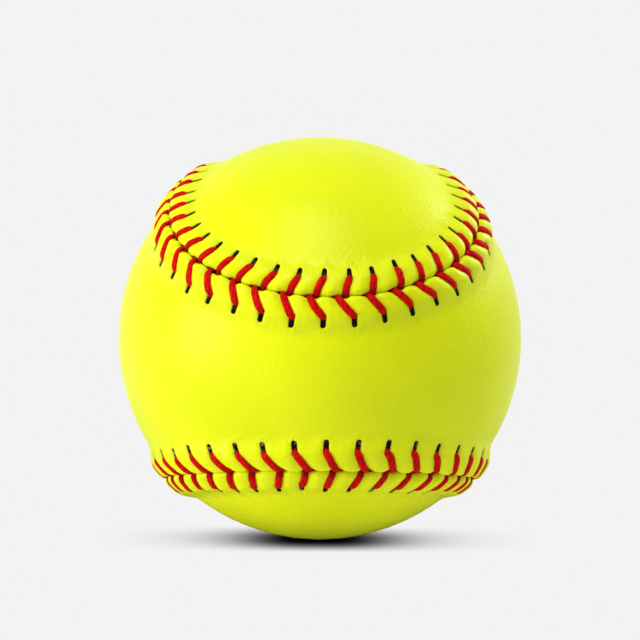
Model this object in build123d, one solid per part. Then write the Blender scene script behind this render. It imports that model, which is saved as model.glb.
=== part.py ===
from build123d import *
import os
from math import acos, atan, atan2, cos, degrees, pi, sin, sqrt

# A twelve-inch softball: a moulded core with a coat of cement, two figure-eight leather panels
# drawn over it, and two threads laced from panel to panel along the raised seam.
# The centre of the ball is the origin, +Z is up, and the seam's twofold axis lies along Y.
# The front panel's waist faces -Y, and the rear panel's lobes reach over it above and below.

# Ball
BALL_CIRCUMFERENCE = 304.8
COVER_THICKNESS = 1.5
CEMENT_THICKNESS = 0.15
COVER_CLEARANCE = 0.05  # between the cement and the plain part of the cover

# Seam, as four equal arcs of circles on the ball that meet tangent to each other
WAIST_WIDTH = 42.3  # narrowest part of a panel, from seam to seam along the ball
SEAM_GAP = 0.1
ARC_STITCHES = 22  # pairs of stitches on each arc
FIRST_STITCH = 0.17  # where the first pair's slots lie on an arc, in stitches
STITCH_SPREAD = 0.2  # most that the wider spacing at an arc's middle moves a stitch, in stitches

# Thread
THREAD_DIAMETER = 1.2
THREAD_CLEARANCE = 0.12  # between the thread and the leather that it presses into
INNER_BEND = 0.2  # inside radius of the thread's tightest turns
UNDER_LIFT = 0.2  # between the cement and a run of thread under the cover
REAR_LEAD = 0.22  # how far a rear leg's root lies ahead of its slot, in stitches
FRONT_LEAD = 0.52
TAIL_SHARE = 0.35  # share of the way between two slots that a thread's end fills

# Needle slots, and the lip that the thread lifts along each panel's edge
SLOT_DISTANCE = 5.5  # from the seam to the thread in its slot
SLOT_TAIL = 0.8  # empty length of slot behind the thread
LIP_FOOT = 3.1  # from the slot's far end to the plain ball
LIP_CROWN = 1.1  # rise of the lip over the thread's own thickness
EDGE_ROUND = 1.1
INNER_FOOT = 0.6  # how much further from the seam the leather lifts off the cement
LEG_STAND = 0.4  # height of a leg's axis over the lip's crown, at the seam
LEG_DROP = 0.8  # how much lower the leg's axis is over its slot

BALL_RADIUS = BALL_CIRCUMFERENCE / (2 * pi)
COVER_INNER = BALL_RADIUS - COVER_THICKNESS
CEMENT_RADIUS = COVER_INNER - COVER_CLEARANCE
CORE_RADIUS = CEMENT_RADIUS - CEMENT_THICKNESS
THREAD_RADIUS = THREAD_DIAMETER / 2
BEND_RADIUS = THREAD_RADIUS + INNER_BEND
CHANNEL_RADIUS = THREAD_RADIUS + THREAD_CLEARANCE
LIP_RISE = THREAD_DIAMETER + LIP_CROWN
LIP_WIDTH = SLOT_DISTANCE + CHANNEL_RADIUS + SLOT_TAIL + LIP_FOOT
RUN_RADIUS = CEMENT_RADIUS + UNDER_LIFT + THREAD_RADIUS
ROOT_TOP = BALL_RADIUS + LIP_RISE + LEG_STAND
SLOT_TOP = ROOT_TOP - LEG_DROP
STITCH_COUNT = 4 * ARC_STITCHES

# The tilt of a lobe's axis and the angular radius of its circle follow from the waist:
# the circles touch at the four points halfway between the X and Z axes.
WAIST_ANGLE = WAIST_WIDTH / 2 / BALL_RADIUS
LOBE_TILT = atan((sqrt(0.5) - sin(WAIST_ANGLE)) / cos(WAIST_ANGLE))
LOBE_ANGLE = acos(cos(LOBE_TILT) * sqrt(0.5))

REAR = -1
FRONT = 1
LEADS = {REAR: REAR_LEAD, FRONT: FRONT_LEAD}

# The seam's arcs in sewing order: each circle's axis, the side of the ball that its middle is
# on, and the panel whose lobe it encloses.
ARCS = [
    (Vector(0, -sin(LOBE_TILT), cos(LOBE_TILT)), Vector(0, -1, 0), REAR),
    (Vector(-cos(LOBE_TILT), sin(LOBE_TILT), 0), Vector(0, 1, 0), FRONT),
    (Vector(0, -sin(LOBE_TILT), -cos(LOBE_TILT)), Vector(0, -1, 0), REAR),
    (Vector(cos(LOBE_TILT), sin(LOBE_TILT), 0), Vector(0, 1, 0), FRONT),
]
LAST_ARC = len(ARCS) - 1


def arc_frame(index):
    """Axis of an arc's circle, direction to its middle, sewing direction there, lobe's panel."""
    axis, side, lobe = ARCS[index]
    middle = (side - axis * axis.dot(side)).normalized()
    return axis, middle, axis.cross(middle) * lobe, lobe


def arc_half_angle():
    """Half of the turn that one arc makes about its own axis."""
    axis, middle, along, lobe = arc_frame(0)
    meeting = Vector(1, 0, 1)
    return atan2(abs(meeting.dot(along)), meeting.dot(middle))


ARC_HALF = arc_half_angle()


def place(stitch, across, radius):
    """Point at a distance in stitches along the seam, and across it towards the front panel."""
    arc, rest = divmod(stitch, ARC_STITCHES)
    axis, middle, along, lobe = arc_frame(int(arc) % len(ARCS))
    around = (2 * rest / ARC_STITCHES - 1) * ARC_HALF
    polar = LOBE_ANGLE - lobe * across / BALL_RADIUS
    outward = middle * cos(around) + along * sin(around)
    return (axis * cos(polar) + outward * sin(polar)) * radius


def along_arc(index, outline):
    """Closed section taken along one arc, where X is away from the circle's axis and Y along it."""
    axis, middle, along, lobe = arc_frame(index)
    outward = middle * cos(ARC_HALF) - along * sin(ARC_HALF)
    plane = Plane((0, 0, 0), x_dir=outward, z_dir=outward.cross(axis))
    return revolve(plane * Face(Wire(outline)), Axis((0, 0, 0), axis * lobe), 2 * degrees(ARC_HALF))


def section_point(polar, radius):
    return Vector(radius * sin(polar), radius * cos(polar))


def beside(side, across):
    """Angle from the circle's axis at a distance from the seam, outside the circle or inside."""
    return LOBE_ANGLE + side * across / BALL_RADIUS


def joint_ends(side):
    """Inner and outer ends of the line where a lip goes over into the plain panel."""
    inner = section_point(beside(side, LIP_WIDTH + INNER_FOOT), COVER_INNER)
    return inner, section_point(beside(side, LIP_WIDTH), BALL_RADIUS)


def band_outline():
    """Section of the band that both lips take up, past both faces of the cover."""
    near_inner, near_outer = joint_ends(-1)
    far_inner, far_outer = joint_ends(1)
    corners = [
        near_inner * 2 - near_outer,
        far_inner * 2 - far_outer,
        far_outer * 2 - far_inner,
        near_outer * 2 - near_inner,
    ]
    return Polyline(*corners, close=True).edges()


def slope(foot, crown, radius):
    """Rise of one face of a lip from the plain ball to its crown."""
    half = (crown - foot) / 2
    top = radius + LIP_RISE
    return Bezier(
        section_point(foot, radius),
        section_point(foot + half, radius / cos(half)),
        section_point(crown - half, top / cos(half)),
        section_point(crown, top),
    )


def lip_outline(side):
    """Section of a lip: up its outer face, round its edge and back underneath."""
    inner_end, outer_end = joint_ends(side)
    edge = beside(side, SEAM_GAP / 2)
    crown = beside(side, SEAM_GAP / 2 + EDGE_ROUND)
    outer = BALL_RADIUS + LIP_RISE
    inner = COVER_INNER + LIP_RISE
    round_end = section_point(edge, outer - EDGE_ROUND)
    heading = section_point(edge, 1) - section_point(crown, 1)
    return [
        slope(beside(side, LIP_WIDTH), crown, BALL_RADIUS),
        TangentArc(section_point(crown, outer), round_end, tangent=heading),
        Line(round_end, section_point(edge, inner)),
        Line(section_point(edge, inner), section_point(crown, inner)),
        slope(beside(side, LIP_WIDTH + INNER_FOOT), crown, COVER_INNER),
        Line(inner_end, outer_end),
    ]


def station(stitch):
    """Place along the seam, in stitches, with the leather stretched at the middle of each arc."""
    even = FIRST_STITCH + stitch
    return even - STITCH_SPREAD * sin(2 * pi * even / ARC_STITCHES)


def stitch_corners(stitch, panel):
    """Corners of one stitch: up through the panel's slot, over its lip and down the seam."""
    slot = station(stitch)
    root = station(stitch + LEADS[panel])
    return [
        place(slot, panel * SLOT_DISTANCE, RUN_RADIUS),
        place(slot, panel * SLOT_DISTANCE, SLOT_TOP),
        place(root, 0, ROOT_TOP),
        place(root, 0, RUN_RADIUS),
    ]


def stitch_path(stitch, panel, entry, leave):
    """One stitch with shares of the runs under the cover from the last slot and to the next."""
    corners = stitch_corners(stitch, panel)
    before = stitch_corners(stitch - 1, -panel)[-1]
    after = stitch_corners(stitch + 1, -panel)[0]
    first = corners[0] + (before - corners[0]) * entry
    last = corners[-1] + (after - corners[-1]) * leave
    return FilletPolyline(first, *corners, last, radius=BEND_RADIUS)


def laced_thread(first_panel):
    """One unbroken thread that changes panels at every stitch, with both ends under the cover."""
    edges = []
    for stitch in range(STITCH_COUNT):
        panel = first_panel if stitch % 2 == 0 else -first_panel
        entry = TAIL_SHARE if stitch == 0 else 0.5
        leave = TAIL_SHARE if stitch == STITCH_COUNT - 1 else 0.5
        edges += stitch_path(stitch, panel, entry, leave).edges()
    path = Wire(edges)
    return sweep(Plane(path @ 0, z_dir=path % 0) * Circle(THREAD_RADIUS), path=path)


def rod(start, end):
    """Room that a straight stretch of thread takes up in the leather."""
    return extrude(Plane(start, z_dir=end - start) * Circle(CHANNEL_RADIUS), (end - start).length)


def slot_cutter(stitch, panel):
    """Needle slot, square to the seam, that runs out past the thread in it."""
    slot = station(stitch)
    thread_at = place(slot, panel * SLOT_DISTANCE, BALL_RADIUS)
    tail_at = place(slot, panel * (SLOT_DISTANCE + SLOT_TAIL), BALL_RADIUS)
    middle = (thread_at + tail_at) * 0.5
    plane = Plane(middle, x_dir=tail_at - thread_at, z_dir=middle)
    outline = plane * SlotCenterToCenter((tail_at - thread_at).length, 2 * CHANNEL_RADIUS)
    return extrude(outline, LIP_RISE + COVER_THICKNESS, both=True)


def lip(index, panel):
    """A panel's raised edge along one arc, with its slots and the channels its legs press into it."""
    inside = arc_frame(index)[3] == panel
    cutters = []
    for stitch in range(index * ARC_STITCHES, (index + 1) * ARC_STITCHES):
        slot_low, slot_high, root_high, root_low = stitch_corners(stitch, panel)
        far_leg = stitch_corners(stitch, -panel)
        cutters += [slot_cutter(stitch, panel), rod(slot_high, root_high)]
        cutters += [rod(root_low, root_high), rod(far_leg[3], far_leg[2])]
    return along_arc(index, lip_outline(-1 if inside else 1)).cut(*cutters)


def cover_panel(panel, plain):
    """Figure-eight panel: its plain part, with lips that repeat at half a turn about Y."""
    lips = [lip(0, panel), lip(LAST_ARC, panel)]
    lips += [piece.rotate(Axis.Y, 180) for piece in lips]
    return plain.fuse(lips[0].fuse(*lips[1:]))


def plain_panels():
    """The parts of the front and rear panels that lie flat on the cement."""
    shell = Rot(X=90) * (Sphere(BALL_RADIUS) - Sphere(COVER_INNER))
    bands = [along_arc(index, band_outline()) for index in range(len(ARCS))]
    return shell.cut(bands[0].fuse(*bands[1:])).solids().sort_by(Axis.Y)


os.makedirs("parts", exist_ok=True)

front_plain, rear_plain = plain_panels()
nodes = {
    "moulded_core": Sphere(CORE_RADIUS),
    "cement_coat": Sphere(CEMENT_RADIUS) - Sphere(CORE_RADIUS),
    "rear_cover_panel": cover_panel(REAR, rear_plain),
    "front_cover_panel": cover_panel(FRONT, front_plain),
    "first_lacing_thread": laced_thread(REAR),
    "second_lacing_thread": laced_thread(FRONT),
}
for name, solid in nodes.items():
    export_step(solid, f"parts/{name}.step")
    print(name, len(solid.solids()), round(solid.volume, 1), solid.is_valid)
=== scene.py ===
from math import acos, atan, atan2, cos, pi, radians, sin, sqrt

import bpy
import numpy as np
from mathutils import Matrix, Vector


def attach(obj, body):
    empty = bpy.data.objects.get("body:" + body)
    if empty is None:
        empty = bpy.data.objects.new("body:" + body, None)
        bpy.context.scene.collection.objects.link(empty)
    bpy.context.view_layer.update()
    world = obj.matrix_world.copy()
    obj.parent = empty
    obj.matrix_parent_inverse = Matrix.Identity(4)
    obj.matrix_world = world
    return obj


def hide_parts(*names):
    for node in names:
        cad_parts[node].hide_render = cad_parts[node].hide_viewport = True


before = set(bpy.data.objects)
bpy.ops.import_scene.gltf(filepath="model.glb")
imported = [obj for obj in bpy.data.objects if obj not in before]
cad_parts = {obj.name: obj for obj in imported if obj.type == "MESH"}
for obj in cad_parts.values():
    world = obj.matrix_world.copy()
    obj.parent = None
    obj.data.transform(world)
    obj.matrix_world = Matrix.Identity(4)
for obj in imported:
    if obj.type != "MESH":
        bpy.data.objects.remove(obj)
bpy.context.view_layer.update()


# Core: a ball of closed-cell polyurethane foam, poured into a round mould in one shot.
# It is cream coloured with a faintly pitted skin, and the cover hides all of it.
FOAM_PALE = (0.78, 0.72, 0.56, 1)
FOAM_DEEP = (0.66, 0.58, 0.42, 1)
FOAM_ROUGH = 0.75
PATCH_RANGE = (0.35, 0.65)


def add_node(tree, kind, **values):
    """New node with some of its inputs set."""
    made = tree.nodes.new(kind)
    for name, value in values.items():
        made.inputs[name.replace("_", " ")].default_value = value
    return made


def feed(tree, socket, value):
    """Links an output to a socket, or sets the socket to a plain value."""
    if isinstance(value, bpy.types.NodeSocket):
        tree.links.new(value, socket)
    else:
        socket.default_value = value


def mix_colour(tree, factor, first, second):
    """Output that goes from one colour to another as the factor goes from 0 to 1."""
    mix = tree.nodes.new("ShaderNodeMix")
    mix.data_type = "RGBA"
    colour_sockets = (mix.inputs[0], mix.inputs[6], mix.inputs[7])  # a Mix node's others are for other data
    for socket, value in zip(colour_sockets, (factor, first, second)):
        feed(tree, socket, value)
    return mix.outputs[2]


def map_range(tree, value, low, high, to_low, to_high, way="LINEAR"):
    """Output that carries a value's range over to another range, held at both ends."""
    ends = {"From_Min": low, "From_Max": high, "To_Min": to_low, "To_Max": to_high}
    ranged = add_node(tree, "ShaderNodeMapRange", **ends)
    ranged.interpolation_type = way
    tree.links.new(value, ranged.inputs["Value"])
    return ranged.outputs[0]


def make_mottle_group():
    """Slow change between two tones of one finish, with a fine grain for its roughness and bump."""
    group = bpy.data.node_groups.new("mottle", "ShaderNodeTree")
    group.interface.new_socket("Pale", in_out="INPUT", socket_type="NodeSocketColor")
    group.interface.new_socket("Deep", in_out="INPUT", socket_type="NodeSocketColor")
    group.interface.new_socket("Patches", in_out="INPUT", socket_type="NodeSocketFloat")
    group.interface.new_socket("Grain", in_out="INPUT", socket_type="NodeSocketFloat")
    group.interface.new_socket("Tone", in_out="OUTPUT", socket_type="NodeSocketColor")
    group.interface.new_socket("Grain Height", in_out="OUTPUT", socket_type="NodeSocketFloat")
    taken = group.nodes.new("NodeGroupInput")
    given = group.nodes.new("NodeGroupOutput")
    place = group.nodes.new("ShaderNodeTexCoord")
    patches = add_node(group, "ShaderNodeTexNoise", Detail=3.0, Roughness=0.55)
    grain = add_node(group, "ShaderNodeTexNoise", Detail=4.0, Roughness=0.6)
    for texture, size in ((patches, "Patches"), (grain, "Grain")):
        group.links.new(place.outputs["Object"], texture.inputs["Vector"])
        group.links.new(taken.outputs[size], texture.inputs["Scale"])
    share = map_range(group, patches.outputs[0], *PATCH_RANGE, 0.0, 1.0)
    tone = mix_colour(group, share, taken.outputs["Pale"], taken.outputs["Deep"])
    group.links.new(tone, given.inputs["Tone"])
    group.links.new(grain.outputs[0], given.inputs["Grain Height"])
    return group


MOTTLE = make_mottle_group()


def mottled_material(name, pale, deep, patches, grain):
    """Material whose base colour is mottled, with the parts of it that its finish goes on from."""
    material = bpy.data.materials.new(name)
    material.use_nodes = True
    tree = material.node_tree
    mottle = tree.nodes.new("ShaderNodeGroup")
    mottle.node_tree = MOTTLE
    mottle.inputs["Pale"].default_value = pale
    mottle.inputs["Deep"].default_value = deep
    mottle.inputs["Patches"].default_value = patches
    mottle.inputs["Grain"].default_value = grain
    shader = tree.nodes["Principled BSDF"]
    tree.links.new(mottle.outputs["Tone"], shader.inputs["Base Color"])
    return material, tree, mottle, shader


def add_bump(tree, shader, height, strength, distance):
    """Fine relief of a finish."""
    bump = add_node(tree, "ShaderNodeBump", Strength=strength, Distance=distance)
    tree.links.new(height, bump.inputs["Height"])
    tree.links.new(bump.outputs[0], shader.inputs["Normal"])


def dress_node(name, material):
    """Gives a carried-over solid its finish."""
    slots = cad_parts[name].data.materials
    slots.clear()
    slots.append(material)


foam, tree, mottle, shader = mottled_material(
    "moulded_foam", FOAM_PALE, FOAM_DEEP, patches=60.0, grain=900.0)
shader.inputs["Roughness"].default_value = FOAM_ROUGH
add_bump(tree, shader, mottle.outputs["Grain Height"], strength=0.5, distance=0.0004)
dress_node("moulded_core", foam)


# Cement: the coat of contact adhesive that the core is dipped in before the panels go on.
# It dries to a thin honey-coloured skin with drips and brush marks, under the leather.
CEMENT_PALE = (0.85, 0.8, 0.62, 1)
CEMENT_DEEP = (0.7, 0.55, 0.28, 1)
CEMENT_ROUGH = (0.3, 0.6)
GRAIN_RANGE = (0.3, 0.7)


def roughen(tree, mottle, shader, low, high):
    """Roughness that goes from low to high with the grain of the finish."""
    rough = map_range(tree, mottle.outputs["Grain Height"], *GRAIN_RANGE, low, high)
    tree.links.new(rough, shader.inputs["Roughness"])


cement, tree, mottle, shader = mottled_material(
    "dried_cement", CEMENT_PALE, CEMENT_DEEP, patches=110.0, grain=350.0)
roughen(tree, mottle, shader, *CEMENT_ROUGH)
add_bump(tree, shader, mottle.outputs["Grain Height"], strength=0.4, distance=0.0003)
dress_node("cement_coat", cement)


# Cover: two equal figure-eight panels of optic yellow leather, die cut with a row of slits along
# their edges, soaked, drawn over the core and laced edge to edge. The lacing lifts both edges into
# a raised seam, where the leather puffs up between the stitches.
MM = 0.001
BALL_RADIUS = 304.8 / (2 * pi)
WAIST_WIDTH = 42.3
ARC_STITCHES = 22
ARC_COUNT = 4
STITCHES = ARC_STITCHES * ARC_COUNT
REAR = -1
FRONT = 1
WAIST_ANGLE = WAIST_WIDTH / 2 / BALL_RADIUS
LOBE_TILT = atan((sqrt(0.5) - sin(WAIST_ANGLE)) / cos(WAIST_ANGLE))
LOBE_ANGLE = acos(cos(LOBE_TILT) * sqrt(0.5))
LOBE_REACH = LOBE_ANGLE * BALL_RADIUS

# The seam is four arcs of circles: each has its circle's axis, the way to the arc's middle, the
# sewing direction there, and the panel whose lobe it goes round.
ARC_AXES = np.array([
    [0, -sin(LOBE_TILT), cos(LOBE_TILT)],
    [-cos(LOBE_TILT), sin(LOBE_TILT), 0],
    [0, -sin(LOBE_TILT), -cos(LOBE_TILT)],
    [cos(LOBE_TILT), sin(LOBE_TILT), 0],
])
ARC_LOBES = np.array([REAR, FRONT, REAR, FRONT])
ARC_SIDES = np.array([[0, lobe, 0] for lobe in ARC_LOBES])
ARC_MIDDLES = ARC_SIDES - ARC_AXES * (ARC_AXES * ARC_SIDES).sum(1, keepdims=True)
ARC_MIDDLES /= np.linalg.norm(ARC_MIDDLES, axis=1, keepdims=True)
ARC_ALONGS = np.cross(ARC_AXES, ARC_MIDDLES) * ARC_LOBES[:, None]
MEETING = np.array([1, 0, 1])
ARC_HALF = atan2(abs(MEETING @ ARC_ALONGS[0]), MEETING @ ARC_MIDDLES[0])
PITCH = BALL_RADIUS * sin(LOBE_ANGLE) * 2 * ARC_HALF / ARC_STITCHES

# How the stitches are placed. Along the seam lengths are in stitches, across it in millimetres.
FIRST_SLIT = 0.17
LOBE_SPREAD = 0.17
WAIST_SPREAD = 0.28
DRIFTS = {REAR: 0.065, FRONT: 0.115}
LEADS = {REAR: 0.25, FRONT: 0.5}
REAR_LEAD_CHANGE = 0.05
REAR_REACH = -0.05
REAR_REACH_CHANGE = 0.2
FRONT_REACH_BELOW = 0.44
FRONT_REACH_TURN = 0.45
REACH_GROWS = (1.5, 4)

# What handwork varies from stitch to stitch: mean, spread, and the least and the most of it.
HAND_SLIT = (0, 0.02, -0.045, 0.045)
HAND_REACH = (0, 0.18, -0.35, 0.35)
HAND_LEAD = (0, 0.035, -0.07, 0.07)
HAND_BOW = (0.012, 0.025, -0.04, 0.06)
HAND_PUFF = (1, 0.1, 0.75, 1.25)

# The slits: where across the seam they start and end, how wide, how pointed and how slanted they are.
SLIT_DISTANCE = 4.75
SLIT_NEAR = 4.6
SLIT_FAR = 6.5
SLIT_STRETCH = 0.4
SLIT_SHRINKS = {REAR: 0.0, FRONT: 1.2}
SLIT_HALF_WIDTHS = {REAR: 0.6, FRONT: 0.55}
SLIT_TAPER = 0.02
SLIT_POINT = 0.75
SLIT_LEANS = {REAR: 0.015, FRONT: 0.0}
SLIT_FAN = 0.06
SLIT_FAN_REACH = 3
SLIT_DEPTH = 1.1
SLIT_WALL = (-0.06, 0.08)

# The lip: its rise from the plain ball, its rounded edge, and the puffs between the stitches.
LEATHER = 1.45
LIP_FOOT = 10.4
LIP_LOW = 1.5
LIP_STEPS = 60
LIP_STEEP = 1.5
LIP_HELD = 7.5
EDGE_ROUND = 1.4
EDGE_INNER = 0.2
# Painted shade in the seam's gap where it opens, on its wall and round its edge.
EDGE_GAP_SHADE = (0.1, 0.3)
EDGE_CREASE_SHADE = 0.5
EDGE_CREASE_SHADE_TURNS = (0.9, 1.6)
PUFF = 0.95
PUFF_BASE = 0.02
PUFF_POWER = 0.42
PUFF_AT_EDGE = 0.4
PUFF_FADES = (4.0, 8.9)
# Painted shade fills the creases under the legs, up to this share of a puff.
PUFF_CREASE_SHADE_END = 0.5

# The opening of the seam at each stitch: where it begins and ends, in stitches from the threads.
SEAM_GAP = 0.02
OPENING = 0.42
OPENING_BEGINS = (-0.2, -0.04)
OPENING_ENDS = (0.06, 0.4)
OPENING_REACH = 3.5

# The finish of the leather, the fine wrinkles that run out from the slits, painted shade in its creases,
# its slits and the seam's gap, and the raw edge inside the slits.
WRINKLE_START = 0.6
WRINKLE_REACH = 2.6
WRINKLE_RAYS = 6.0
WRINKLE_TURN = 2.4
WRINKLE_DEPTH = 6.0
LEATHER_PALE = (0.83, 0.9, 0.004, 1)
LEATHER_DEEP = (0.77, 0.85, 0.003, 1)
LEATHER_CREASE_SHADE = (0.56, 0.62, 0.002, 1)
LEATHER_GLOSS = 0.14
LEATHER_ROUGH = (0.33, 0.45)
CREASE_SHADE = 0.55
# Painted shade inside the slits and the seam's gap, with flecks of the pale raw cut edge.
SLIT_SHADE_COLOUR = (0.016, 0.012, 0.006, 1)
SLIT_RAW = (0.7, 0.66, 0.5, 1)
# The raw edge shows mostly in the lower slits, where light falls into them: that change with height is
# painted light.
RAW_BELOW = 0.9
RAW_ABOVE = 0.12
RAW_CHANGE = 10 * MM
RAW_RANGE = (0.54, 0.7)
SLIT_SHADE = (0.06, 0.3)

hand = np.random.RandomState(12)


def by_hand(mean, spread, least, most):
    """A value for each stitch that varies as handwork does."""
    return hand.normal(mean, spread, STITCHES).clip(least, most)


def sew(panel):
    """Where a panel's stitches lie: wider apart in the middle of an arc, and uneven as sewn by hand."""
    numbers = np.arange(STITCHES)
    even = numbers + FIRST_SLIT
    round_arc = 2 * pi * even / ARC_STITCHES
    round_ball = np.cos(round_arc / ARC_COUNT - pi / 4)
    spread = np.where(ARC_LOBES[numbers // ARC_STITCHES] == panel, LOBE_SPREAD, WAIST_SPREAD)
    drift = DRIFTS[panel] * (round_ball - 1) - spread * np.sin(round_arc)
    below = (1 - round_ball) / 2
    slow_reach = {
        REAR: REAR_REACH - REAR_REACH_CHANGE * round_ball,
        FRONT: FRONT_REACH_BELOW * below - FRONT_REACH_TURN * np.sin(round_arc),
    }
    slow_lead = {REAR: -REAR_LEAD_CHANGE * np.sin(round_arc) * (1 + round_ball), FRONT: 0}
    return {
        "slit": even + drift + by_hand(*HAND_SLIT),
        "reach": slow_reach[panel] + by_hand(*HAND_REACH),
        "lead": LEADS[panel] + slow_lead[panel] + by_hand(*HAND_LEAD),
        "bow": by_hand(*HAND_BOW),
        "puff": by_hand(*HAND_PUFF),
        "lean": SLIT_LEANS[panel] + SLIT_FAN * np.cos(round_arc / 2),
        "far": SLIT_FAR + below * (SLIT_STRETCH - SLIT_SHRINKS[panel] * (1 + np.cos(round_arc)) / 2),
    }


SEWN = {REAR: sew(REAR), FRONT: sew(FRONT)}


def on_arc(arc, rest, across, radius):
    """Points a number of stitches along an arc, and across the seam towards the front panel."""
    around = (2 * rest / ARC_STITCHES - 1) * ARC_HALF
    polar = LOBE_ANGLE - ARC_LOBES[arc] * across / BALL_RADIUS
    outward = ARC_MIDDLES[arc] * np.cos(around)[..., None] + ARC_ALONGS[arc] * np.sin(around)[..., None]
    direction = ARC_AXES[arc] * np.cos(polar)[..., None] + outward * np.sin(polar)[..., None]
    return direction * np.asarray(radius)[..., None]


def on_seam(stitch, across, radius):
    """Points a number of stitches along the whole seam."""
    arc = np.floor(stitch / ARC_STITCHES).astype(int)
    return on_arc(arc % ARC_COUNT, stitch - arc * ARC_STITCHES, across, radius)


def smooth(value, start, end):
    """Soft step from 0 at start to 1 at end."""
    share = np.clip((value - start) / (end - start), 0, 1)
    return share * share * (3 - 2 * share)


def between_slits(values, station):
    """A panel's per-stitch value at any place along the seam."""
    return np.interp(station, np.arange(STITCHES) + FIRST_SLIT, values, period=STITCHES)


def lip_height(across):
    """Height of the lip over the plain ball, in the hollows under the stitches."""
    steps = np.linspace(0, 1, LIP_STEPS)
    share = np.clip((LIP_FOOT - across) / (LIP_FOOT - EDGE_ROUND), 0, 1)
    step = np.interp(share, LIP_STEEP * steps * (1 - steps) + steps ** 3, steps)
    return LIP_LOW * (3 * step ** 2 - 2 * step ** 3)


def leg_station(sewn, number, across):
    """Where a stitch's leg crosses a line that runs along the seam, in stitches."""
    index = number % STITCHES
    share = 1 - np.clip(across / SLIT_DISTANCE, 0, 1)
    lead = sewn["lead"][index] * share + sewn["bow"][index] * 4 * share * (1 - share)
    return sewn["slit"][index] + number - index + lead


FAR_OFF = 9.0


def puffed(sewn, station, across, lead):
    """How far the leather stands up between two legs, from 0 under a leg to about 1."""
    guess = np.floor(station - FIRST_SLIT - lead * (1 - np.clip(across / SLIT_DISTANCE, 0, 1))).astype(int)
    behind = np.full(station.shape, -FAR_OFF)
    ahead = np.full(station.shape, FAR_OFF)
    size = np.ones(station.shape)
    for step in (-2, -1, 0, 1, 2):
        apart = leg_station(sewn, guess + step, across) - station
        nearer = (apart <= 0) & (apart > behind)
        behind = np.where(nearer, apart, behind)
        size = np.where(nearer, sewn["puff"][(guess + step) % STITCHES], size)
        ahead = np.where((apart > 0) & (apart < ahead), apart, ahead)
    swell = np.sin(pi * behind / (behind - ahead)) ** 2
    low, full, here = (base ** PUFF_POWER for base in (PUFF_BASE, 1 + PUFF_BASE, swell + PUFF_BASE))
    return size * ((here - low) / (full - low))


def seam_opening(station):
    """How far the threads hold a panel's edge back from the seam, 0 to 1."""
    opened = np.zeros(station.shape)
    for step in (-2, -1, 0, 1):
        number = np.floor(station).astype(int) + step
        first = leg_station(SEWN[REAR], number, 0)
        last = leg_station(SEWN[FRONT], number, 0)
        rise = smooth(station - first, *OPENING_BEGINS)
        fall = (1 - smooth(station - last, *OPENING_ENDS)) ** 2
        opened = np.maximum(opened, np.minimum(rise, fall))
    return opened


# Columns of the mesh within one stitch close up at the slit, and rows at its two ends.
BESIDE_SLIT = np.array([-0.85, -0.67, -0.57, -0.43, -0.23, 0, 0.23, 0.43, 0.57, 0.67, 0.85, 1.2])
SLIT_COLUMNS = BESIDE_SLIT / PITCH + FIRST_SLIT
STITCH_COLUMNS = np.concatenate([[0], SLIT_COLUMNS, np.linspace(SLIT_COLUMNS[-1], 1, 9)[1:-1]])
EDGE_TURNS = np.radians([90, 74, 57, 39, 20])
LIP_ROWS = np.concatenate([
    np.linspace(EDGE_ROUND, 3.9, 10),
    [4.08, 4.25, 4.6, 5.0, 5.4, 5.8, 6.2, 6.6, 6.86, 7.0, 7.1, 7.19, 7.27, 7.35, 7.44, 7.54, 7.65, 7.78],
    [8.0, 8.5, 9.1, 9.7, LIP_FOOT],
])
PLAIN_SHARES = np.array([0.06, 0.15, 0.27, 0.42, 0.6, 0.8, 1.0])
UNDER_SHARES = (1.0, 0.4)
UNDER_ROWS = (LIP_FOOT, 5.8, 1.4)
WAIST_HALVING = {REAR: 0, FRONT: 2}  # axis that is 0 along the middle of a panel's waist


def plain_reach(arc, panel, stations):
    """How far the panel goes on from the seam: to the lobe's middle, or to the middle of the waist."""
    if ARC_LOBES[arc] == panel:
        return np.full(stations.shape, LOBE_REACH)
    rest = stations - arc * ARC_STITCHES
    around = (2 * rest / ARC_STITCHES - 1) * ARC_HALF
    outward = ARC_MIDDLES[arc][:, None] * np.cos(around) + ARC_ALONGS[arc][:, None] * np.sin(around)
    halving = WAIST_HALVING[panel]
    crossing = np.arctan2(-ARC_AXES[arc][halving], outward[halving]) % pi
    return (crossing - LOBE_ANGLE) * BALL_RADIUS


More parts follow.
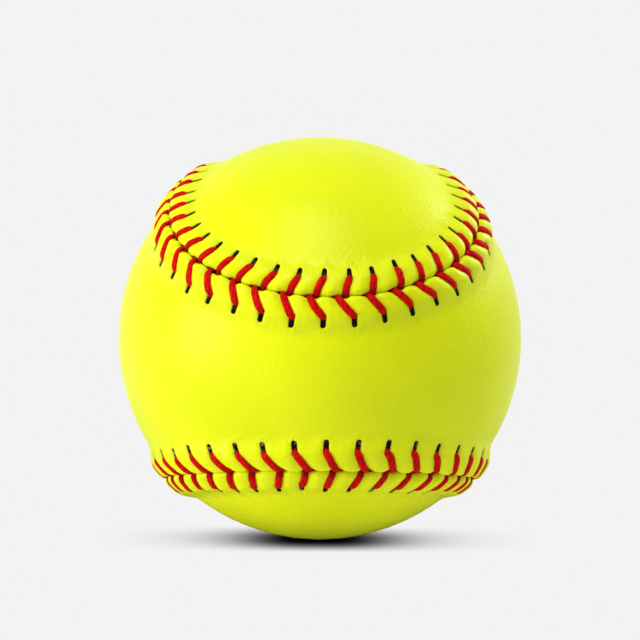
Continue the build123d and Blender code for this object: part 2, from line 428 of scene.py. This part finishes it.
def panel_sector(panel, arc):
    """Rows of points from the hidden middle of a panel, round its edge, and back to its shown middle."""
    sewn = SEWN[panel]
    stitch_numbers = np.arange(ARC_STITCHES)[:, None] + arc * ARC_STITCHES
    stations = np.append((stitch_numbers + STITCH_COLUMNS).ravel(), (arc + 1) * ARC_STITCHES)
    shift = between_slits(sewn["slit"] - np.arange(STITCHES) - FIRST_SLIT, stations)
    sewn_at = stations + shift
    reach = between_slits(sewn["reach"], stations)
    lean_rate = between_slits(sewn["lean"], stations)
    slit_far = between_slits(sewn["far"], stations)
    opened = seam_opening(sewn_at) * OPENING + SEAM_GAP
    plain_end = plain_reach(arc, panel, stations)
    own_slit = np.floor(stations - FIRST_SLIT + 0.5)
    beside_slit = (stations - FIRST_SLIT - own_slit) * PITCH
    points = []
    # Marks on the points: slits, painted shade in the creases, and the wrinkles' reach and direction.
    marks = {"slit": [], "crease": [], "pull": [], "ray": []}

    def add_row(row_points, **given):
        points.append(row_points)
        for name, rows in marks.items():
            rows.append(np.broadcast_to(given.get(name, 0), stations.shape))

    def add_lip_row(across, height, hold, **given):
        lean = lean_rate * np.clip(across - SLIT_DISTANCE, 0, SLIT_FAN_REACH)
        placed = stations + (shift - lean) * hold
        add_row(on_seam(placed % STITCHES, panel * across, BALL_RADIUS + height), **given)

    def add_plain_row(share, height):
        across = LIP_FOOT + (plain_end - LIP_FOOT) * share
        radius = np.full(stations.shape, BALL_RADIUS + height)
        add_row(on_arc(arc, stations - arc * ARC_STITCHES, panel * across, radius))

    flat = np.ones(stations.shape)
    for share in UNDER_SHARES:
        add_plain_row(share, -LEATHER)
    for across in UNDER_ROWS:
        add_lip_row(across * flat, lip_height(across) - LEATHER, 0)
    edge_puff = puffed(sewn, sewn_at, PUFF_AT_EDGE * flat, LEADS[panel])
    crest = LIP_LOW + PUFF * edge_puff
    # Painted shade down the seam's wall, darkest where the seam opens.
    add_lip_row(opened, EDGE_INNER * flat, 1, slit=smooth(opened, *EDGE_GAP_SHADE), crease=1)
    for turn in EDGE_TURNS:
        across = opened + EDGE_ROUND * (1 - sin(turn))
        height = crest - EDGE_ROUND * (1 - cos(turn))
        add_lip_row(across, height, 1, crease=EDGE_CREASE_SHADE * smooth(turn, *EDGE_CREASE_SHADE_TURNS))
    for row in LIP_ROWS:
        held = 1 - smooth(row, LIP_HELD, LIP_FOOT)
        across = row + opened * (1 - smooth(row, EDGE_ROUND, OPENING_REACH))
        across = across + reach * smooth(row, *REACH_GROWS) * held
        swell = puffed(sewn, sewn_at, row * flat, LEADS[panel])
        fade = 1 - smooth(row, *PUFF_FADES)
        beyond = np.maximum(max(SLIT_NEAR - row, 0), (row - slit_far) * SLIT_POINT)
        taper = SLIT_TAPER * max(row - SLIT_NEAR, 0)
        from_slit = np.hypot(beside_slit, beyond)
        # The slit mark sinks the leather into the slit, and the material paints shade there too.
        slit = smooth(SLIT_HALF_WIDTHS[panel] - taper - from_slit, *SLIT_WALL)
        height = lip_height(row) + PUFF * fade * swell - SLIT_DEPTH * slit
        # Painted shade in the creases under the legs, fading away from the seam.
        crease = (1 - smooth(swell, 0.0, PUFF_CREASE_SHADE_END)) * fade
        pull = 1 - smooth(from_slit, WRINKLE_START, WRINKLE_REACH)
        ray = np.arctan2(beside_slit, row - SLIT_DISTANCE) + WRINKLE_TURN * own_slit
        add_lip_row(across, height, held, slit=slit, crease=crease, pull=pull, ray=ray)
    for share in PLAIN_SHARES:
        add_plain_row(share, 0)
    return np.array(points), {name: np.array(rows) for name, rows in marks.items()}


def grid_of_points(name, points, marks):
    """A flat grid with its points moved into place, and named values on its points."""
    rows, columns = points.shape[:2]
    bpy.ops.object.select_all(action="DESELECT")
    bpy.ops.mesh.primitive_grid_add(x_subdivisions=columns - 1, y_subdivisions=rows - 1, size=1)
    made = bpy.context.active_object
    made.name = name
    flat = np.empty(len(made.data.vertices) * 3, np.float32)
    made.data.vertices.foreach_get("co", flat)
    column = np.rint((flat[0::3] + 0.5) * (columns - 1)).astype(int)
    row = np.rint((flat[1::3] + 0.5) * (rows - 1)).astype(int)
    made.data.vertices.foreach_set("co", (points[row, column] * MM).astype(np.float32).ravel())
    for mark, values in marks.items():
        attribute = made.data.attributes.new(mark, "FLOAT", "POINT")
        attribute.data.foreach_set("value", values[row, column].astype(np.float32))
    made.data.update()
    return made


JOIN_WITHIN = 0.002 * MM


def close_mesh(made):
    """Joins what lies edge to edge, turns all faces outwards and shades them smooth."""
    bpy.ops.object.select_all(action="DESELECT")
    made.select_set(True)
    bpy.context.view_layer.objects.active = made
    bpy.ops.object.mode_set(mode="EDIT")
    bpy.ops.mesh.select_all(action="SELECT")
    bpy.ops.mesh.remove_doubles(threshold=JOIN_WITHIN)
    bpy.ops.mesh.normals_make_consistent(inside=False)
    bpy.ops.object.mode_set(mode="OBJECT")
    bpy.ops.object.shade_smooth()


def cover_panel(name, panel):
    """One figure-eight panel: four sectors, one along each arc of the seam."""
    sectors = []
    for arc in range(ARC_COUNT):
        sectors.append(grid_of_points(name, *panel_sector(panel, arc)))
    bpy.ops.object.select_all(action="DESELECT")
    for sector in sectors:
        sector.select_set(True)
    bpy.context.view_layer.objects.active = sectors[0]
    bpy.ops.object.join()
    close_mesh(sectors[0])
    return sectors[0]


def maths(tree, operation, *values):
    """Output of one sum on numbers or other outputs."""
    made = tree.nodes.new("ShaderNodeMath")
    made.operation = operation
    for socket, value in zip(made.inputs, values):
        feed(tree, socket, value)
    return made.outputs[0]


def attribute_value(tree, name):
    """Output of a named value on the mesh's points."""
    made = tree.nodes.new("ShaderNodeAttribute")
    made.attribute_name = name
    return made.outputs["Fac"]


leather, tree, mottle, shader = mottled_material(
    "yellow_leather", LEATHER_PALE, LEATHER_DEEP, patches=45.0, grain=1600.0)
# Painted shade: darker in the creases, near black in the slits and the seam's gap, with flecks of the pale
# raw cut edge.
shade = map_range(tree, attribute_value(tree, "crease"), 0.0, 1.0, 0.0, CREASE_SHADE)
toned = mix_colour(tree, shade, mottle.outputs["Tone"], LEATHER_CREASE_SHADE)
place = tree.nodes.new("ShaderNodeTexCoord")
cut = add_node(tree, "ShaderNodeTexNoise", Scale=900.0, Detail=1.0)
tree.links.new(place.outputs["Object"], cut.inputs["Vector"])
spot = tree.nodes.new("ShaderNodeSeparateXYZ")
tree.links.new(place.outputs["Object"], spot.inputs[0])
# More raw edge shows low on the ball, standing in for light that falls into the lower slits.
raw_lit_share = map_range(tree, spot.outputs["Z"], -RAW_CHANGE, RAW_CHANGE, RAW_BELOW, RAW_ABOVE)
raw = maths(tree, "MULTIPLY", map_range(tree, cut.outputs[0], *RAW_RANGE, 0.0, 1.0), raw_lit_share)
painted_dark = map_range(tree, attribute_value(tree, "slit"), *SLIT_SHADE, 0.0, 1.0)
hole_shade_and_raw = mix_colour(tree, raw, SLIT_SHADE_COLOUR, SLIT_RAW)
tree.links.new(mix_colour(tree, painted_dark, toned, hole_shade_and_raw), shader.inputs["Base Color"])
shader.inputs["Specular IOR Level"].default_value = LEATHER_GLOSS
roughen(tree, mottle, shader, *LEATHER_ROUGH)
pebble = add_node(tree, "ShaderNodeTexVoronoi", Scale=1100.0)
pebble.feature = "SMOOTH_F1"
tree.links.new(place.outputs["Object"], pebble.inputs["Vector"])
pull = attribute_value(tree, "pull")
spread = tree.nodes.new("ShaderNodeCombineXYZ")
tree.links.new(maths(tree, "MULTIPLY", attribute_value(tree, "ray"), WRINKLE_RAYS), spread.inputs["X"])
tree.links.new(pull, spread.inputs["Y"])
rays = add_node(tree, "ShaderNodeTexNoise", Scale=1.0, Detail=2.0)
tree.links.new(spread.outputs[0], rays.inputs["Vector"])
wrinkles = maths(tree, "MULTIPLY", maths(tree, "MULTIPLY", rays.outputs[0], pull), WRINKLE_DEPTH)
relief = maths(tree, "ADD", pebble.outputs["Distance"], wrinkles)
add_bump(tree, shader, relief, strength=0.42, distance=0.0002)

for node_name, panel in (("rear_cover_panel", REAR), ("front_cover_panel", FRONT)):
    cover = cover_panel(node_name.replace("cover", "leather"), panel)
    cover.data.materials.append(leather)
    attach(cover, "root")
    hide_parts(node_name)


# Lacing: two waxed red cotton threads on two needles, each of them sewn through both panels in turn.
# A thread comes up through a slit, crosses the panel's edge, dives into the seam and runs on
# under the other panel to its next slit. The legs that show are drawn flat across the leather.
THREAD_WIDTHS = {REAR: 0.87, FRONT: 0.9}
THREAD_TALL = 0.46
THREAD_ROUND = 0.52
THREAD_STAND = 0.52
FLAT_HEIGHTS = (0.2, 1.3)
SLIT_PINCH = (-0.25, 0.15)
SEAM_PINCH = 0.25
SEAM_PINCH_START = 0.75
DIVE_LEAD = 0.13
DIVE_HEIGHTS = (1.2, -0.3)
# Painted shade towards the root of each stitch in the seam, more on one panel than the other.
ROOT_SHADE_START = 0.55
ROOT_SHADES = {REAR: 0.8, FRONT: 0.3}
STRANDS = 5
STRAND_POINTS = 4
STRAND_FURROW = 0.89
STRAND_CROWN = 0.12
STRAND_POWER = 0.6
TWIST_LENGTH = 15.0
LEG_RINGS = 36
RUN_RINGS = 8
HEADING_RINGS = 6

# A stitch's way from the run under the cover, up its slit, along the leather and down into the seam.
RUN_DEPTH = -0.78
RUN_BEND = 0.1
SLIT_SIDE = 0.1
SLIT_UNDER = 0.35
SLIT_OVER = 0.28
LEG_START = 0.7
LEG_END = 0.2
LEG_STEP = 0.3
DIVE_POINTS = 9
PROFILE_POINTS = 90
PROFILE_ROUNDS = 12

# The finish of the thread, with painted shade in its furrows and towards its root in the seam.
THREAD_RED = (0.8, 0.004, 0.003, 1)
THREAD_DEEP = (0.44, 0.001, 0.002, 1)
THREAD_SHADE = (0.2, 0.0, 0.001, 1)
THREAD_GLOSS = 0.05
THREAD_ROUGH = (0.45, 0.65)
# Painted shade in the furrows between the strands.
FURROW_RANGE = (0.1, 0.6)
FURROW_SHADE = 0.45


def resample(points, count):
    """The same line with its points evenly spaced."""
    lengths = np.append(0, np.cumsum(np.linalg.norm(np.diff(points, axis=0), axis=1)))
    places = np.linspace(0, lengths[-1], count)
    return np.stack([np.interp(places, lengths, axis) for axis in points.T], 1)


def leg_profile(length):
    """A stitch seen from the side: distance from its slit towards the seam, and height."""
    to_across = SLIT_DISTANCE / length
    turns = np.radians(np.linspace(0, 90, DIVE_POINTS))
    bend = EDGE_ROUND + THREAD_STAND
    edge_across = OPENING + EDGE_ROUND - bend * np.sin(turns)
    edge_height = LIP_LOW - EDGE_ROUND + bend * np.cos(turns)
    slit_height = lip_height(SLIT_DISTANCE)
    leg_across = np.arange(SLIT_DISTANCE - LEG_START, edge_across[0] + LEG_END, -LEG_STEP)
    leg_height = lip_height(leg_across) + THREAD_STAND
    slit_across = [SLIT_DISTANCE + SLIT_SIDE] * 3 + [SLIT_DISTANCE - SLIT_SIDE]
    slit_heights = [RUN_DEPTH, RUN_BEND, slit_height - SLIT_UNDER, slit_height + SLIT_OVER]
    across = np.concatenate([slit_across, leg_across, edge_across, [edge_across[-1]] * 2])
    height = np.concatenate([slit_heights, leg_height, edge_height, [RUN_BEND, RUN_DEPTH]])
    line = resample(np.stack([(SLIT_DISTANCE - across) / to_across, height], 1), PROFILE_POINTS)
    for round_off in range(PROFILE_ROUNDS):
        line[1:-1] = (line[:-2] + 2 * line[1:-1] + line[2:]) / 4
    return resample(line, LEG_RINGS)


def thread_stitch(panel, number):
    """Centre line of one stitch, the way across its flat side, its two radii and how much painted shade its
    root gets.
    """
    sewn = SEWN[panel]
    index = number % STITCHES
    lead = sewn["lead"][index]
    length = sqrt(SLIT_DISTANCE ** 2 + (lead * PITCH) ** 2)
    line = leg_profile(length)
    share = line[:, 0] / length
    dive = smooth(line[:, 1], *DIVE_HEIGHTS) * (share > 0.5)
    station = sewn["slit"][index] + number - index + lead * share + DIVE_LEAD * dive
    station = station + sewn["bow"][index] * 4 * share * (1 - share)
    across = SLIT_DISTANCE * (1 - share)
    across = across + sewn["reach"][index] * smooth(across, *REACH_GROWS)
    centres = on_seam(station % STITCHES, panel * across, BALL_RADIUS + line[:, 1])
    middle = LEG_RINGS // 2
    heading = centres[middle + HEADING_RINGS] - centres[middle - HEADING_RINGS]
    sideways = -panel * np.cross(centres[middle], heading)
    flat = smooth(line[:, 1], *FLAT_HEIGHTS)
    bulge = smooth(share, *SLIT_PINCH) * (1 - SEAM_PINCH * smooth(share, SEAM_PINCH_START, 1))
    wide = THREAD_ROUND + (THREAD_WIDTHS[panel] - THREAD_ROUND) * flat * bulge
    tall = THREAD_ROUND + (THREAD_TALL - THREAD_ROUND) * flat
    # Painted shade: the stitch darkens towards its root in the seam.
    root = ROOT_SHADES[panel] * smooth(share, ROOT_SHADE_START, 1)
    return centres, np.tile(sideways / np.linalg.norm(sideways), (LEG_RINGS, 1)), wide, tall, root


def lacing_thread(name, first_panel):
    """One unbroken thread that changes panels at every stitch, with both ends under the cover."""
    centres, sideways, wide, tall, root = [], [], [], [], []
    for number in range(STITCHES):
        panel = first_panel if number % 2 == 0 else -first_panel
        stitch = thread_stitch(panel, number)
        if number:
            shares = np.linspace(0, 1, RUN_RINGS + 2)[1:-1, None]
            run = centres[-1][-1] * (1 - shares) + stitch[0][0] * shares
            depth = np.linalg.norm(centres[-1][-1])
            centres.append(run / np.linalg.norm(run, axis=1, keepdims=True) * depth)
            sideways.append(sideways[-1][-1] * (1 - shares) + stitch[1][0] * shares)
            wide.append(np.full(RUN_RINGS, THREAD_ROUND))
            tall.append(np.full(RUN_RINGS, THREAD_ROUND))
            # The runs under the cover are fully painted in shade.
            root.append(np.ones(RUN_RINGS))
        for gathered, part in zip((centres, sideways, wide, tall, root), stitch):
            gathered.append(part)
    centres, sideways = np.concatenate(centres), np.concatenate(sideways)
    wide, tall, root = np.concatenate(wide), np.concatenate(tall), np.concatenate(root)
    along = np.gradient(centres, axis=0)
    along /= np.linalg.norm(along, axis=1, keepdims=True)
    sideways -= along * (along * sideways).sum(1, keepdims=True)
    sideways /= np.linalg.norm(sideways, axis=1, keepdims=True)
    upwards = np.cross(along, sideways)
    travelled = np.append(0, np.cumsum(np.linalg.norm(np.diff(centres, axis=0), axis=1)))
    count = STRANDS * STRAND_POINTS
    angles = np.arange(count + 1) / count * 2 * pi
    crown = np.abs(np.sin(angles * STRANDS / 2))
    turned = angles[None, :] + travelled[:, None] / TWIST_LENGTH * 2 * pi
    swell = STRAND_FURROW + STRAND_CROWN * crown ** STRAND_POWER
    side_step = np.cos(turned) * swell * wide[:, None]
    up_step = np.sin(turned) * swell * tall[:, None]
    points = centres[:, None] + sideways[:, None] * side_step[..., None]
    points = points + upwards[:, None] * up_step[..., None]
    # Where the thread gets painted shade: in the furrows between strands and towards the roots.
    marks = {
        "strand": np.broadcast_to(crown, points.shape[:2]),
        "root": np.broadcast_to(root[:, None], points.shape[:2]),
    }
    made = grid_of_points(name, points, marks)
    bpy.ops.object.mode_set(mode="EDIT")
    bpy.ops.mesh.select_all(action="SELECT")
    bpy.ops.mesh.remove_doubles(threshold=JOIN_WITHIN)
    bpy.ops.mesh.select_all(action="DESELECT")
    bpy.ops.mesh.select_non_manifold()
    bpy.ops.mesh.edge_face_add()
    bpy.ops.object.mode_set(mode="OBJECT")
    close_mesh(made)
    return made


waxed, tree, mottle, shader = mottled_material(
    "waxed_red_thread", THREAD_RED, THREAD_DEEP, patches=1100.0, grain=3000.0)
# Painted shade in the furrows and towards the roots.
furrow_shade = map_range(tree, attribute_value(tree, "strand"), *FURROW_RANGE, FURROW_SHADE, 0.0)
shade = maths(tree, "MAXIMUM", furrow_shade, attribute_value(tree, "root"))
toned = mix_colour(tree, shade, mottle.outputs["Tone"], THREAD_SHADE)
tree.links.new(toned, shader.inputs["Base Color"])
shader.inputs["Specular IOR Level"].default_value = THREAD_GLOSS
roughen(tree, mottle, shader, *THREAD_ROUGH)
add_bump(tree, shader, mottle.outputs["Grain Height"], strength=0.35, distance=0.00015)

for node_name, first_panel in (("first_lacing_thread", REAR), ("second_lacing_thread", FRONT)):
    lacing = lacing_thread(node_name.replace("lacing", "red"), first_panel)
    lacing.data.materials.append(waxed)
    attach(lacing, "root")
    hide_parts(node_name)


# Stage: a plain pale floor that runs out into a background of the same grey.
# It isn't part of the ball, and has the ball's soft dark shadow painted on it where the two touch, both
# where the camera sees it and in the light it throws back.
FLOOR_SIZE = 8.0
BACKGROUND = 0.896
FLOOR_PAPER = 0.92
SHADOW_WIDE = 16.8 * MM
SHADOW_POWER = 3.0
SHADOW_TAIL = 0.03
SHADOW_CORE = 0.8 * MM
SHADOW_END = 12.6 * MM
SHADOW_FORWARD = 6.2 * MM
SHADOW_GAMMA = 2.2

# What the ball's gloss mirrors of the floor has a wider painted shadow below the ball, where no light gets
# to.
GLOSS_SHADOW = (55 * MM, 140 * MM)
GLOSS_DARK = 0.1

bpy.ops.object.select_all(action="DESELECT")
bpy.ops.mesh.primitive_plane_add(size=FLOOR_SIZE, location=(0, 0, -BALL_RADIUS * MM))
floor = bpy.context.active_object
floor.name = "floor"
bpy.ops.object.transform_apply(location=True)
paper = bpy.data.materials.new("pale_floor")
paper.use_nodes = True
tree = paper.node_tree
tree.nodes.remove(tree.nodes["Principled BSDF"])
place = tree.nodes.new("ShaderNodeTexCoord")
spot = tree.nodes.new("ShaderNodeSeparateXYZ")
tree.links.new(place.outputs["Object"], spot.inputs[0])
# The painted shadow: long and soft across, short towards the front, centred a little in front of where the
# ball touches.
beside = maths(tree, "ABSOLUTE", maths(tree, "DIVIDE", spot.outputs["X"], SHADOW_WIDE))
long_tail = maths(tree, "DIVIDE", 1.0, maths(tree, "ADD", maths(tree, "POWER", beside, SHADOW_POWER), 1.0))
across_dark = map_range(tree, long_tail, SHADOW_TAIL, 1.0, 0.0, 1.0)
before = maths(tree, "ABSOLUTE", maths(tree, "ADD", spot.outputs["Y"], SHADOW_FORWARD))
before_dark = map_range(tree, before, SHADOW_CORE, SHADOW_END, 1.0, 0.0, "SMOOTHSTEP")
painted_dark = maths(tree, "MULTIPLY", across_dark, before_dark)
lit = maths(tree, "POWER", maths(tree, "SUBTRACT", 1.0, painted_dark), SHADOW_GAMMA)
away = tree.nodes.new("ShaderNodeVectorMath")
away.operation = "LENGTH"
tree.links.new(place.outputs["Object"], away.inputs[0])
mirrored = map_range(tree, away.outputs["Value"], *GLOSS_SHADOW, GLOSS_DARK, 1.0)
ways = tree.nodes.new("ShaderNodeLightPath")
plain = maths(tree, "SUBTRACT", 1.0, ways.outputs["Is Glossy Ray"])
glossed = maths(tree, "MULTIPLY", lit, maths(tree, "MAXIMUM", mirrored, plain))
shades = []
for kind, share, strength in (
    ("ShaderNodeBsdfDiffuse", lit, FLOOR_PAPER),
    ("ShaderNodeEmission", glossed, BACKGROUND),
):
    shade = tree.nodes.new(kind)
    tone = mix_colour(tree, share, (0, 0, 0, 1), (strength, strength, strength, 1))
    tree.links.new(tone, shade.inputs["Color"])
    shades.append(shade.outputs[0])


def backdrop_rays(tree):
    """1 for the rays that show a background: those of the camera, and those off gloss or through glass."""
    ways = tree.nodes.new("ShaderNodeLightPath")
    seen = ways.outputs["Is Camera Ray"]
    for kind in ("Is Glossy Ray", "Is Transmission Ray"):
        seen = maths(tree, "MAXIMUM", seen, ways.outputs[kind])
    return seen


def mix_shaders(tree, factor, first, second, output):
    """Goes from one shader to another as the factor goes from 0 to 1, and puts that out."""
    mixed = tree.nodes.new("ShaderNodeMixShader")
    for socket, value in zip(mixed.inputs, (factor, first, second)):
        tree.links.new(value, socket)
    tree.links.new(mixed.outputs[0], tree.nodes[output].inputs["Surface"])


mix_shaders(tree, backdrop_rays(tree), shades[0], shades[1], "Material Output")
floor.data.materials.append(paper)


# Light: an even pale room, with a large warm lamp on the left, another overhead and a smaller
# one behind on the right, which gives that side of the ball its pale rim.
ROOM_LIGHT = 0.23
ROOM_TONE = (0.88, 1, 1, 1)

world = bpy.data.worlds.new("pale_room")
bpy.context.scene.world = world
world.use_nodes = True
tree = world.node_tree
room = tree.nodes["Background"]
room.inputs["Color"].default_value = ROOM_TONE
room.inputs["Strength"].default_value = ROOM_LIGHT
backdrop = add_node(tree, "ShaderNodeBackground", Color=(BACKGROUND,) * 3 + (1,))
mix_shaders(tree, backdrop_rays(tree), room.outputs[0], backdrop.outputs[0], "World Output")


def add_lamp(name, location, size, power, colour):
    """Square soft lamp that points at the ball."""
    bpy.ops.object.light_add(type="AREA", location=location)
    lamp = bpy.context.active_object
    lamp.name = name
    lamp.rotation_euler = (-Vector(location)).to_track_quat("-Z", "Y").to_euler()
    lamp.data.size = size
    lamp.data.energy = power
    lamp.data.color = colour


add_lamp("left_lamp", location=(-0.94, -0.31, 0.1), size=0.5, power=7.4, colour=(1, 0.96, 0.9))
add_lamp("top_lamp", location=(-0.1, -0.3, 0.95), size=0.5, power=6.6, colour=(1, 0.98, 0.93))
add_lamp("rim_lamp", location=(0.74, 0.55, 0.39), size=0.4, power=4.8, colour=(1, 1, 1))


# Camera: far off with a long lens, a little above the ball and turned slightly to its left.
# Its focal length and the height of its aim are in pixels of the picture.
DISTANCE = 30 * BALL_RADIUS * MM
SENSOR = 36
FOCUS = 6036
PHOTO_SIDE = 640
AIM_ABOVE = 18.3
YAW = radians(2.38)
PITCH_DOWN = radians(13.55)
ROLL = radians(0.94)

turned = Matrix.Rotation(ROLL, 3, "Y") @ Matrix.Rotation(PITCH_DOWN, 3, "X") @ Matrix.Rotation(YAW, 3, "Z")
back_to_ball = turned.transposed()
right, up, back = (back_to_ball @ Vector(axis) for axis in ((1, 0, 0), (0, 0, 1), (0, -1, 0)))
stand = back * DISTANCE + up * (AIM_ABOVE * DISTANCE / FOCUS)
camera_data = bpy.data.cameras.new("camera")
camera_data.sensor_width = SENSOR
camera_data.lens = SENSOR * FOCUS / PHOTO_SIDE
camera = bpy.data.objects.new("camera", camera_data)
bpy.context.scene.collection.objects.link(camera)
camera.matrix_world = Matrix((right, up, back)).transposed().to_4x4()
camera.location = stand
bpy.context.scene.camera = camera
bpy.context.scene.view_settings.view_transform = "Standard"
